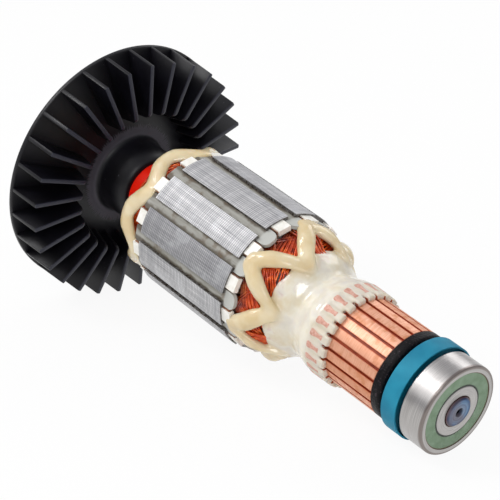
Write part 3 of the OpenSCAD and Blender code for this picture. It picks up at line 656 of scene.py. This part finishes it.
# %% Join the surfaces to their outputs
for item in finishes:
    tree = item.node_tree
    add(tree, "OutputMaterial", {0: tree.nodes["Principled BSDF"]})
print(len(finishes), "finishes")

# %% [markdown]
# The solids that are already right keep their shape and get their finish.

# %% Dress the solids that stay
DRESS = {
    "shaft": blued, "insulating_sleeve": red, "core_stack": laminated,
    "front_end_insulator": nylon, "rear_end_insulator": nylon, "slot_liners": liner,
    "slot_coils": varnish_and_gap_shade, "mica_segments": mica, "lead_ends": lead,
    "lead_resin": lead_resin, "commutator_moulding": phenolic, "dust_ring": teal,
    "bearing_inner_ring": ground, "bearing_outer_ring": ground, "bearing_balls": ground,
    "bearing_cage": cage_nylon, "bearing_front_seal": sage, "bearing_rear_seal": sage,
    "fan": black, "front_resin_bead": cord_resin, "rear_resin_bead": cord_resin,
    "front_end_winding": varnish_and_gap_shade, "rear_end_winding": varnish_and_gap_shade,
}
for name, item in nodes.items():
    finish = DRESS.get(name) or (fibre if name.startswith("slot_wedge") else track)
    item.data.materials.clear()
    item.data.materials.append(finish)
print(len(nodes), "solids dressed")

# %% [markdown]
# Every new piece is made upright about the shaft line and then laid down. One helper turns a
# closed outline about the line, as a lathe would, and another lays the mesh down, smooths
# its shading up to a sharp angle, and says which body it rides on. Three more make a plate
# from its flat outline, round its edges and send copies of it round the shaft.

# %% Helpers for new pieces


def turn_outline(bm, points, steps=120):
    """Turns a closed outline of (radius, station) points about the shaft line."""
    verts = [bm.verts.new((r, 0, z)) for r, z in points]
    edges = [bm.edges.new(pair) for pair in zip(verts, verts[1:] + verts[:1])]
    bmesh.ops.spin(bm, geom=verts + edges, axis=(0, 0, 1), angle=math.tau, steps=steps,
                   use_merge=True)
    bmesh.ops.remove_doubles(bm, verts=bm.verts, dist=0.001)
    bmesh.ops.recalc_face_normals(bm, faces=bm.faces)


def arc(centre, radii, first, last, count):
    """Points on an arc about (radius, station), with its own radius each way, in degrees."""
    turns = [math.radians(first + (last - first) * i / count) for i in range(count + 1)]
    return [(centre[0] + radii[0] * math.cos(a), centre[1] + radii[1] * math.sin(a))
            for a in turns]


def bring_in(name, mesh, body, slot, finish, *stands_for, sharp=35):
    """Lays a mesh down in its place, gives it its finish and hangs it on its body."""
    mesh.name = name
    mesh.transform(LAY)
    mesh.shade_smooth()
    mesh.set_sharp_from_angle(angle=math.radians(sharp))
    mesh.materials.clear()
    mesh.materials.append(finish)
    item = bpy.data.objects.new(name, mesh)
    scene.collection.objects.link(item)
    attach(item, body)
    if stands_for:
        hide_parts(*stands_for)
    print(name, len(mesh.polygons), "faces")


def thick_plate(rim, through):
    """A mesh of one plate: a closed rim of points, filled and thickened by a vector."""
    bm = bmesh.new()
    flat = bm.faces.new([bm.verts.new(point) for point in rim])
    grown = bmesh.ops.extrude_face_region(bm, geom=[flat])["geom"]
    bmesh.ops.translate(bm, vec=through,
                        verts=[v for v in grown if isinstance(v, bmesh.types.BMVert)])
    bmesh.ops.recalc_face_normals(bm, faces=bm.faces)
    return bm


def round_edges(bm, edges, width):
    """Rounds edges with a bevel of two steps."""
    bmesh.ops.bevel(bm, geom=edges, offset=width, segments=2, profile=0.5, affect="EDGES",
                    material=-1)


def go_round(bm, first, count):
    """Turns what is in a mesh to its first angle and repeats it evenly around the shaft."""
    bmesh.ops.rotate(bm, verts=bm.verts, matrix=Matrix.Rotation(math.radians(first), 3, "Z"))
    bmesh.ops.spin(bm, geom=bm.verts[:] + bm.edges[:] + bm.faces[:], axis=(0, 0, 1),
                   angle=math.tau * (count - 1) / count, steps=count - 1, use_duplicate=True)

# %% [markdown]
# **Fan.** It is moulded in one piece: a disc that cones back towards its rim, a hub that
# swells from its front edge like a bell, and 29 straight blades. We turn the disc and hub
# from one outline. A blade is cut as a flat outline, extruded to its thickness, and all its
# edges are rounded by 0.3 mm, because each edge then catches a thin line of light, as
# moulded edges do. Copies of the blade go round by a spin.

# %% Model the fan
BLADES = 29
BLADE_T = 1.4
DISC_CONE = 5.9
DISC_FLAT_R = 18.5
HUB_LIP_R = 10.1
HUB_R = 13.2
HUB_BELL = 6.5
HUB_FILLET = 2.2
RIM_ROUND = 0.35
ROOT_CURVE = (2.4, 3.0)
FAN_BORE = 6.5
disc_r = max(r for _, r in outline_of("fan")) - 0.01
disc_face = fan_back - DISC_T - DISC_CONE
bm = bmesh.new()
turn_outline(bm, (
    [(FAN_BORE, fan_front), (HUB_LIP_R, fan_front)]
    + arc((HUB_LIP_R, fan_front + HUB_BELL), (HUB_R - HUB_LIP_R, HUB_BELL), -90, 0, 12)
    + [(HUB_R + 0.15, fan_front + HUB_BELL + 2.5)]
    + arc((HUB_R + HUB_FILLET + 0.2, disc_face - HUB_FILLET), (HUB_FILLET, HUB_FILLET),
          180, 90, 7)
    + [(DISC_FLAT_R - 0.6, disc_face), (DISC_FLAT_R + 0.6, disc_face + 0.16),
       (disc_r - 0.5, fan_back - DISC_T - 0.1)]
    + arc((disc_r - RIM_ROUND, fan_back - DISC_T + 0.3), (RIM_ROUND, RIM_ROUND), -70, 0, 3)
    + arc((disc_r - RIM_ROUND, fan_back - RIM_ROUND), (RIM_ROUND, RIM_ROUND), 0, 80, 3)
    + [(DISC_FLAT_R, disc_face + DISC_T), (HUB_R, disc_face + DISC_T)]
    + [(HUB_R, fan_back - 0.5), (HUB_R - 0.5, fan_back), (FAN_BORE, fan_back)]), steps=144)


def cone_at(radius):
    """Height of the disc's front face at a radius."""
    return fan_back - DISC_T - DISC_CONE * min(1, (disc_r - radius) / (disc_r - DISC_FLAT_R))


side_view = ([(BLADE_TIP_R, tip_z), (disc_r - 0.1, fan_back - DISC_T + 0.3),
              (BLADE_ROOT_R - 1.6, cone_at(BLADE_ROOT_R - 1.6) + 0.4)]
             + arc((BLADE_ROOT_R + ROOT_CURVE[0], root_z + ROOT_CURVE[1]), ROOT_CURVE,
                   180, 270, 5))
blade = thick_plate([(r, -BLADE_T / 2, z) for r, z in side_view], (0, BLADE_T, 0))
round_edges(blade, blade.edges[:], 0.3)
go_round(blade, 180 + 180 / BLADES, BLADES)
bm.from_mesh(to_mesh(blade))
bring_in("fan_moulding", to_mesh(bm), "rotor", "fan_plastic", black, "fan", sharp=30)

# %% [markdown]
# **End windings.** A coil of some twelve wires leaves one slot, runs round the shaft in an
# arch and goes down into a slot five further on. Each coil lies on the one before it near its
# own slot and under it farther on, which gives the basket look. So the path of each wire is
# worked out. The arch's height follows a flattened sine and its radius the winding's outline,
# and it sinks by a wire's thickness for each slot that it passes, until other coils hide it.

# %% Work out the path of a wire
SLOTS = TEETH
SLOT_PITCH = 360 / SLOTS
WIRE_D = 0.68
COIL_WIRES = 12
COIL_SPAN = 5 * SLOT_PITCH
WIRE_STEPS = 18
IN_SLOT = 2.0
MOST_SUNK = 1.6
front_outline = outline_of("front_end_winding", 11.5)
rear_outline = outline_of("rear_end_winding", 10.5)


def wire_path(face, way, outline, slot_angle, spread, height, run, lean, lift):
    """One wire from its slot at a core face: way is +1 or -1 along the shaft, and lean is
    +1 or -1 for the sense in which it goes round."""
    points = []
    for i in range(WIRE_STEPS + 1):
        t = run * i / WIRE_STEPS
        away = IN_SLOT + (height - IN_SLOT) * math.sin(math.pi * t) ** 0.75
        angle = slot_angle + spread - lean * (COIL_SPAN + 2 * spread) * t
        station = face + way * away
        sunk = WIRE_D * min(COIL_SPAN / SLOT_PITCH * t, MOST_SUNK)
        points.append(polar(radius_at(outline, station) - WIRE_D / 2 - sunk + lift,
                            angle, station))
    return points


print("coils span", COIL_SPAN, "degrees")

# %% [markdown]
# A curve with a round bevel follows each path. A few wires cross the others, some are a
# little loose, and three bundles of leads run down to the commutator on top of the coils.
# The three shades of enamel are dealt out in turn.

# %% Wind both ends
CROSSING_WIRES = 2
LEAD_WIRES = 8
LEAD_STATIONS = (3.0, 4.5, 6.0, 8.0, 10.0, 12.0, 14.0, 16.5)


def wind_end(name, face, way, outline, height, pitch, leads, stands_for):
    """All visible wires of one end winding as one bevelled curve."""
    rng = random.Random(name)
    curve = bpy.data.curves.new(name, "CURVE")
    curve.dimensions = "3D"
    curve.bevel_depth = WIRE_D / 2 * MM
    curve.bevel_resolution = 1
    paths = []
    for k in range(SLOTS):
        slot_angle = FIRST_SLOT + SLOT_PITCH * k
        for j in range(COIL_WIRES):
            paths.append(wire_path(
                face, way, outline, slot_angle + rng.uniform(-0.3, 0.3),
                spread=1.2 * (j - COIL_WIRES / 2),
                height=height - pitch * (COIL_WIRES - 1 - j) + rng.uniform(-0.1, 0.1),
                run=0.5, lean=1, lift=rng.uniform(-0.1, 0.05) - 0.25 * (j % 2)))
        for j in range(CROSSING_WIRES):
            paths.append(wire_path(
                face, way, outline, slot_angle + rng.uniform(-2, 2), spread=-2.0 + 1.6 * j,
                height=height * rng.uniform(0.5, 0.8), run=0.2, lean=-1,
                lift=rng.uniform(-0.1, 0.2)))
    for k in range(leads):
        for j in range(LEAD_WIRES):
            lean = rng.uniform(-1.5, 1.5)
            beside = 2.2 * (j - (LEAD_WIRES - 1) / 2)
            paths.append([polar(
                radius_at(outline, face + way * away) + 0.15, FIRST_SLOT + 360 / leads * k
                + beside * (1.3 - away / 26) + lean * away / 14,
                face + way * away) for away in LEAD_STATIONS])
    for i, path in enumerate(paths):
        line = curve.splines.new("POLY")
        line.material_index = (0, 1, 0, 2, 1, 0, 2)[(i + i // 7) % 7]
        line.points.add(len(path) - 1)
        for spot, place in zip(line.points, path):
            spot.co = (*(LAY @ place), 1.0)
        line.use_smooth = True
    item = bpy.data.objects.new(name, curve)
    for shade in enamels:
        curve.materials.append(shade)
    scene.collection.objects.link(item)
    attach(item, "rotor")
    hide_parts(stands_for)
    print(name, len(paths), "wires")


wind_end("front_wires", core_front, -1, front_outline, height=17.5, pitch=0.96, leads=3,
         stands_for="front_end_winding")
wind_end("rear_wires", core_back, 1, rear_outline, height=13.0, pitch=0.75, leads=0,
         stands_for="rear_end_winding")

# %% [markdown]
# Below the wires a dark varnished bed closes the gaps. It is painted shade as well: it stands
# for the shaded wires under the top ones. It is the winding's own outline, let in a little and
# turned round the shaft.

# %% Lay the dark beds of varnish and painted shade
BED_DEPTH = 2.0


def bed_under(name, outline, inner_r, stands_for):
    """The dark bed under the wires of one end: varnish and painted shade."""
    bm = bmesh.new()
    ends = [z for z, _ in outline]
    turn_outline(bm, [(max(r - BED_DEPTH, inner_r + 0.3), z) for z, r in outline]
                 + [(inner_r, ends[-1]), (inner_r, ends[0])])
    bring_in(name, to_mesh(bm), "rotor", "winding_wire", varnish_and_gap_shade, stands_for)


bed_under("front_winding_bed", front_outline, 8.0, "front_end_winding")
bed_under("rear_winding_bed", rear_outline, 9.9, "rear_end_winding")

# %% [markdown]
# **Resin cords.** A thick cord of potting resin is laid by hand in a zigzag around each end.
# It starts as a ring with a round section, whose points we move: along the shaft by the
# zigzag, and out by what it lies on, with a slow unevenness. Near the core it climbs over the
# wedge tips, and where it turns back on the far side it spreads.

# %% Model the rear cord
CORD_TURN = 11.0
CORD_STEPS = 240
CORD_SAG = 0.45
RING_R = 30
WEDGE_R = 22.6
WEDGE_OUT = 4.8


def zigzag(near, swing, corner, angle):
    """Distance of the cord's middle from the core. A corner of nearly 1 gives straight legs
    and sharp turns, a low one an even wave."""
    wave = math.asin(corner * math.cos(math.radians(SLOTS / 2 * (angle - CORD_TURN))))
    return near + swing / 2 * (1 - wave / math.asin(corner))


def lay_cord(bm, face, way, outline, near, swing, corner, width, height):
    """Lays a resin cord around one end in an empty mesh. Returns its middle line."""
    bmesh.ops.create_circle(bm, segments=16, radius=1.0, matrix=Matrix.Translation(
        (RING_R, 0, 0)) @ Matrix.Rotation(math.pi / 2, 4, "X"))
    bmesh.ops.spin(bm, geom=bm.verts[:] + bm.edges[:], axis=(0, 0, 1), angle=math.tau,
                   steps=CORD_STEPS, use_merge=True)
    bmesh.ops.remove_doubles(bm, verts=bm.verts, dist=0.001)

    def bed_at(away):
        on_wedge = min(1.0, max(0.0, (WEDGE_OUT - away) / 2.0))
        lower = radius_at(outline, face + way * away)
        return lower + max(0.0, WEDGE_R - lower) * on_wedge

    for vert in bm.verts:
        angle = math.degrees(math.atan2(vert.co.y, vert.co.x))
        across, out = vert.co.z, math.hypot(vert.co.x, vert.co.y) - RING_R
        uneven = noise.noise(polar(3.0, angle, face * 0.1))
        mid = (zigzag(near, swing, corner, angle)
               + 0.7 * noise.noise(polar(1.6, angle, face * 0.3)))
        # two degrees are about 0.7 mm of the way round
        slope = (zigzag(near, swing, corner, angle + 1)
                 - zigzag(near, swing, corner, angle - 1)) / 0.7
        far = max(0.0, (mid - near) / swing) ** 4
        half = width / 2 * (1 + 0.18 * uneven + 0.15 * far) * min(math.hypot(1, slope), 1.5)
        away = mid + across * half
        bed = bed_at(mid) * 0.6 + bed_at(away) * 0.4
        vert.co = polar(bed + (out + CORD_SAG) / (1 + CORD_SAG) * height
                        * (1 + 0.15 * uneven - 0.2 * far), angle, face + way * away)
    bmesh.ops.recalc_face_normals(bm, faces=bm.faces)
    middle = []
    for i in range(CORD_STEPS):
        angle = 360 / CORD_STEPS * i
        mid = zigzag(near, swing, corner, angle)
        middle.append(polar(bed_at(mid) + height / 2, angle, face + way * mid))
    return middle


bm = bmesh.new()
lay_cord(bm, core_back, 1, rear_outline, near=5.4, swing=5.6, corner=0.7, width=5.7,
         height=2.3)
bring_in("rear_resin_cord", to_mesh(bm), "rotor", "resin", cord_resin, "rear_resin_bead",
         sharp=80)

# %% [markdown]
# **Front resin.** Thinner resin is poured over the leads from the coils to the risers, where
# it is then turned flush. We turn the poured skin from its thickness along the shaft, with a
# ragged edge where it ran out over the wires, and add the cord and the crown's ring.

# %% Lay the front cord and pour the skin
CROWN_R = 16.3
RISER_R = 15.6
POUR_FROM = 13.6
POUR_STEP = 0.5
POUR = ((0.0, -0.3), (0.7, 0.5), (2.5, 1.1), (5.0, 1.3), (7.2, 1.5), (9.0, 2.1), (10.6, 2.5),
        (12.0, 2.0), (13.6, 1.3), (18.0, 1.1))
riser_front = outline_of("lead_resin", CROWN_R - 0.6)[0][0]
pour_edge = core_front - POUR_FROM
bm = bmesh.new()
middle = lay_cord(bm, core_front, -1, front_outline, near=4.9, swing=10.6, corner=0.93,
                  width=6.1, height=2.5)
skin_top = []
for i in range(int((pour_edge - riser_back) / POUR_STEP)):
    station = pour_edge - POUR_STEP * i
    thick = radius_at(POUR, POUR_STEP * i)
    skin_top.append((radius_at(front_outline, station) + thick, station))
skin_top.append((CROWN_R - 0.5, riser_back))
skin = bmesh.new()
turn_outline(skin, skin_top + [(r - 3.0, z) for r, z in reversed(skin_top)], 180)
for v in skin.verts:
    angle = math.degrees(math.atan2(v.co.y, v.co.x))
    share = max(0.0, 1 - (pour_edge - v.co.z) / 6.0)
    v.co.z += share * (0.2 + 1.3 * noise.noise(polar(2.4, angle, 0.0))
                       + 0.5 * noise.noise(polar(7.0, angle, 5.0)))
bm.from_mesh(to_mesh(skin))
turn_outline(bm, [(RISER_R - 1.2, riser_front + 2.0), (CROWN_R - 0.3, riser_front + 2.0),
                  (CROWN_R - 0.25, riser_back + 0.5), (RISER_R - 1.0, riser_back + 2.5),
                  (RISER_R - 3.0, riser_back + 2.5)], 180)
print("skin of", len(skin_top), "rings, from", round(pour_edge, 1), "to", riser_back, "mm")

# %% [markdown]
# The crown is cut into a block over each riser. One block is a cube, scaled, rounded at its
# outer edges and moved out, and copies of it go round.

# %% Set the blocks of the crown
BLOCK_W = 3.05
block = bmesh.new()
bmesh.ops.create_cube(block, size=1.0)
bmesh.ops.scale(block, verts=block.verts, vec=(
    CROWN_R - RISER_R + 1.25, BLOCK_W, riser_back - riser_front + 0.9))
round_edges(block, [e for e in block.edges if all(v.co.x > 0 for v in e.verts)], 0.5)
bmesh.ops.translate(block, verts=block.verts, vec=(
    (CROWN_R + RISER_R - 1.2) / 2, 0, (riser_back + riser_front) / 2 + 0.3))
go_round(block, FIRST_SLOT, BARS)
bm.from_mesh(to_mesh(block))
print(BARS, "blocks")

# %% [markdown]
# Cord, skin and crown have run together. A voxel remesh makes them one skin, smoothing rounds
# the joins as the liquid did, and a little noise takes the lathe's evenness out of it. How
# near a point is to the cord's middle line is kept on the mesh, because the cord's finish is
# creamier.

# %% Melt the front resin together
VOXEL = 0.35
RIPPLE = 0.22
CORD_REACH = 5.2
CORD_FADE = 2.6


def soften(bm, verts, passes):
    """Rounds a mesh by moving each point halfway to the middle of its neighbours."""
    for _ in range(passes):
        bmesh.ops.smooth_vert(bm, verts=verts, factor=0.5, use_axis_x=True, use_axis_y=True,
                              use_axis_z=True)


rough = bpy.data.objects.new("rough_resin", to_mesh(bm))
scene.collection.objects.link(rough)
melt = rough.modifiers.new("melt", "REMESH")
melt.mode = "VOXEL"
melt.voxel_size = VOXEL
bpy.context.view_layer.update()
graph = bpy.context.evaluated_depsgraph_get()
melted = bpy.data.meshes.new_from_object(rough.evaluated_get(graph))
bpy.data.objects.remove(rough)
bm = bmesh.new()
bm.from_mesh(melted)
poured = [v for v in bm.verts if v.co.z > riser_back + 1.5]
soften(bm, poured, 9)
for v in poured:
    v.co += v.normal * RIPPLE * noise.noise(v.co * RIPPLE)
soften(bm, bm.verts, 2)
cord_line = kdtree.KDTree(len(middle))
for i, spot in enumerate(middle):
    cord_line.insert(spot, i)
cord_line.balance()
shares = [min(1.0, max(0.0, (CORD_REACH - cord_line.find(v.co)[2]) / CORD_FADE))
          for v in bm.verts]
mesh = to_mesh(bm)
mesh.attributes.new("cord", "FLOAT", "POINT").data.foreach_set("value", shares)
bring_in("front_resin", mesh, "rotor", "resin", lead_resin, "front_resin_bead", "lead_resin",
         sharp=60)

# %% [markdown]
# **Lead ends.** Two wires are pressed into each riser's slot and turned flush with the
# resin, so each shows as a pink patch, broad where the wires come in and waisted where they
# meet. Its plan is a few points, extruded to a plate and rounded at its edges, and a spin
# makes 24 of them.

# %% Model the lead ends
PLAN = ((0.60, -0.6), (0.98, -0.4), (1.12, 0.1), (1.08, 0.8), (0.92, 1.5), (0.74, 2.3),
        (0.66, 3.0), (0.68, 3.6), (0.80, 4.1), (0.78, 4.4), (0.50, 4.5))
around = [(y, z) for y, z in reversed(PLAN)] + [(-y, z) for y, z in PLAN]
plate = thick_plate([(CROWN_R - 1.2, y, riser_back - 0.1 - z) for y, z in around],
                    (1.27, 0, 0))
top = [e for e in plate.edges if all(v.co.x > CROWN_R for v in e.verts)]
round_edges(plate, top, 0.12)
go_round(plate, FIRST_SLOT, BARS)
bring_in("lead_plates", to_mesh(plate), "rotor", "lead_copper", lead, "lead_ends", sharp=40)
